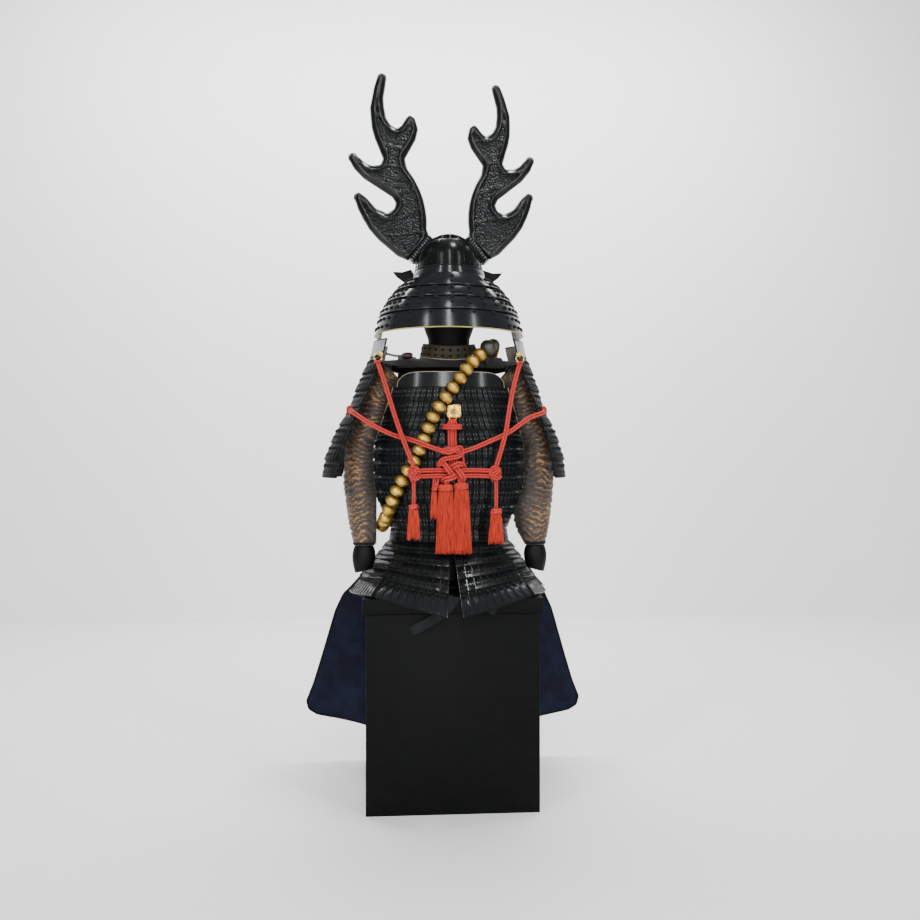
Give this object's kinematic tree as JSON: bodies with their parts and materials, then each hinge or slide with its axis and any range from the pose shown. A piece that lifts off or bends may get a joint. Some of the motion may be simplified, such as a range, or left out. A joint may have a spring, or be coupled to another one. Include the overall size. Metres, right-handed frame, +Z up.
{
  "type": "samurai armour on a display box and stand",
  "caption": "Suit of laced lamellar armour with horned helmet, shoulder guards, sleeves, skirt, thigh apron, bead string and red cords, set on a lidded box over an inner stand.",
  "frame": {"origin": "middle of the box base, on the floor", "axes": "+Z up, +Y the way the armour faces, +X towards the right arm of the armour"},
  "size_m": [0.802, 0.5695, 1.909],
  "materials": {
    "lacquer": "black lacquer over iron, glossy",
    "laced": "black lacquered scale rows with black silk lacing",
    "antler_lacquer": "black lacquer, rough field between smooth rims",
    "brocade": "brown and gold brocade, gathered",
    "navy_cloth": "navy cotton with black binding",
    "black_cloth": "black cotton",
    "collar_cloth": "dark olive cloth",
    "red_braid": "braided silk",
    "gilt_wood": "gold leaf over wood",
    "gilt_metal": "gilt copper",
    "box_paint": "black painted wood, satin",
    "stand_wood": "black wood",
    "toggle": "dark purple brown wood"
  },
  "bodies": {
    "root": {"antler_collar_left": "antler_lacquer", "antler_collar_right": "antler_lacquer", "antler_left": "antler_lacquer", "antler_right": "antler_lacquer", "apron_belt": "black_cloth", "back_plate": "lacquer", "bead_string": "gilt_wood", "box_lid": "box_paint", "breast_plate": "lacquer", "collar": "collar_cloth", "display_box": "box_paint", "great_knot": "red_braid", "guard_cap_left": "lacquer", "guard_cap_right": "lacquer", "hand_guard_left": "lacquer", "hand_guard_right": "lacquer", "helmet_band": "lacquer", "helmet_bowl": "lacquer", "helmet_peak": "lacquer", "middle_cord": "red_braid", "neck_lame_1": "lacquer", "neck_lame_2": "lacquer", "neck_lame_3": "lacquer", "neck_lame_4": "lacquer", "ring_plate": "gilt_metal", "shoulder_guard_left": "laced", "shoulder_guard_right": "laced", "shoulder_strap_left": "black_cloth", "shoulder_strap_right": "black_cloth", "shoulder_toggle": "toggle", "shoulder_yoke": "black_cloth", "skirt_back_left": "laced", "skirt_back_right": "laced", "skirt_front": "laced", "skirt_front_side_left": "laced", "skirt_front_side_right": "laced", "skirt_side_left": "laced", "skirt_side_right": "laced", "sleeve_left": "brocade", "sleeve_right": "brocade", "stand": "stand_wood", "tape_long": "black_cloth", "tape_short": "black_cloth", "tassel_left": "red_braid", "tassel_pair": "red_braid", "tassel_right": "red_braid", "tassel_small": "red_braid", "thigh_apron_left": "navy_cloth", "thigh_apron_right": "navy_cloth", "turnback_left": "lacquer", "turnback_right": "lacquer", "upper_back_lames": "laced", "upper_cord_left": "red_braid", "upper_cord_right": "red_braid", "upper_front_lames": "laced", "waist_lame_2": "laced", "waist_lame_3": "laced", "waist_lame_4": "laced", "waist_lames_1": "laced", "waist_lames_5": "laced"}
  },
  "joints": []
}
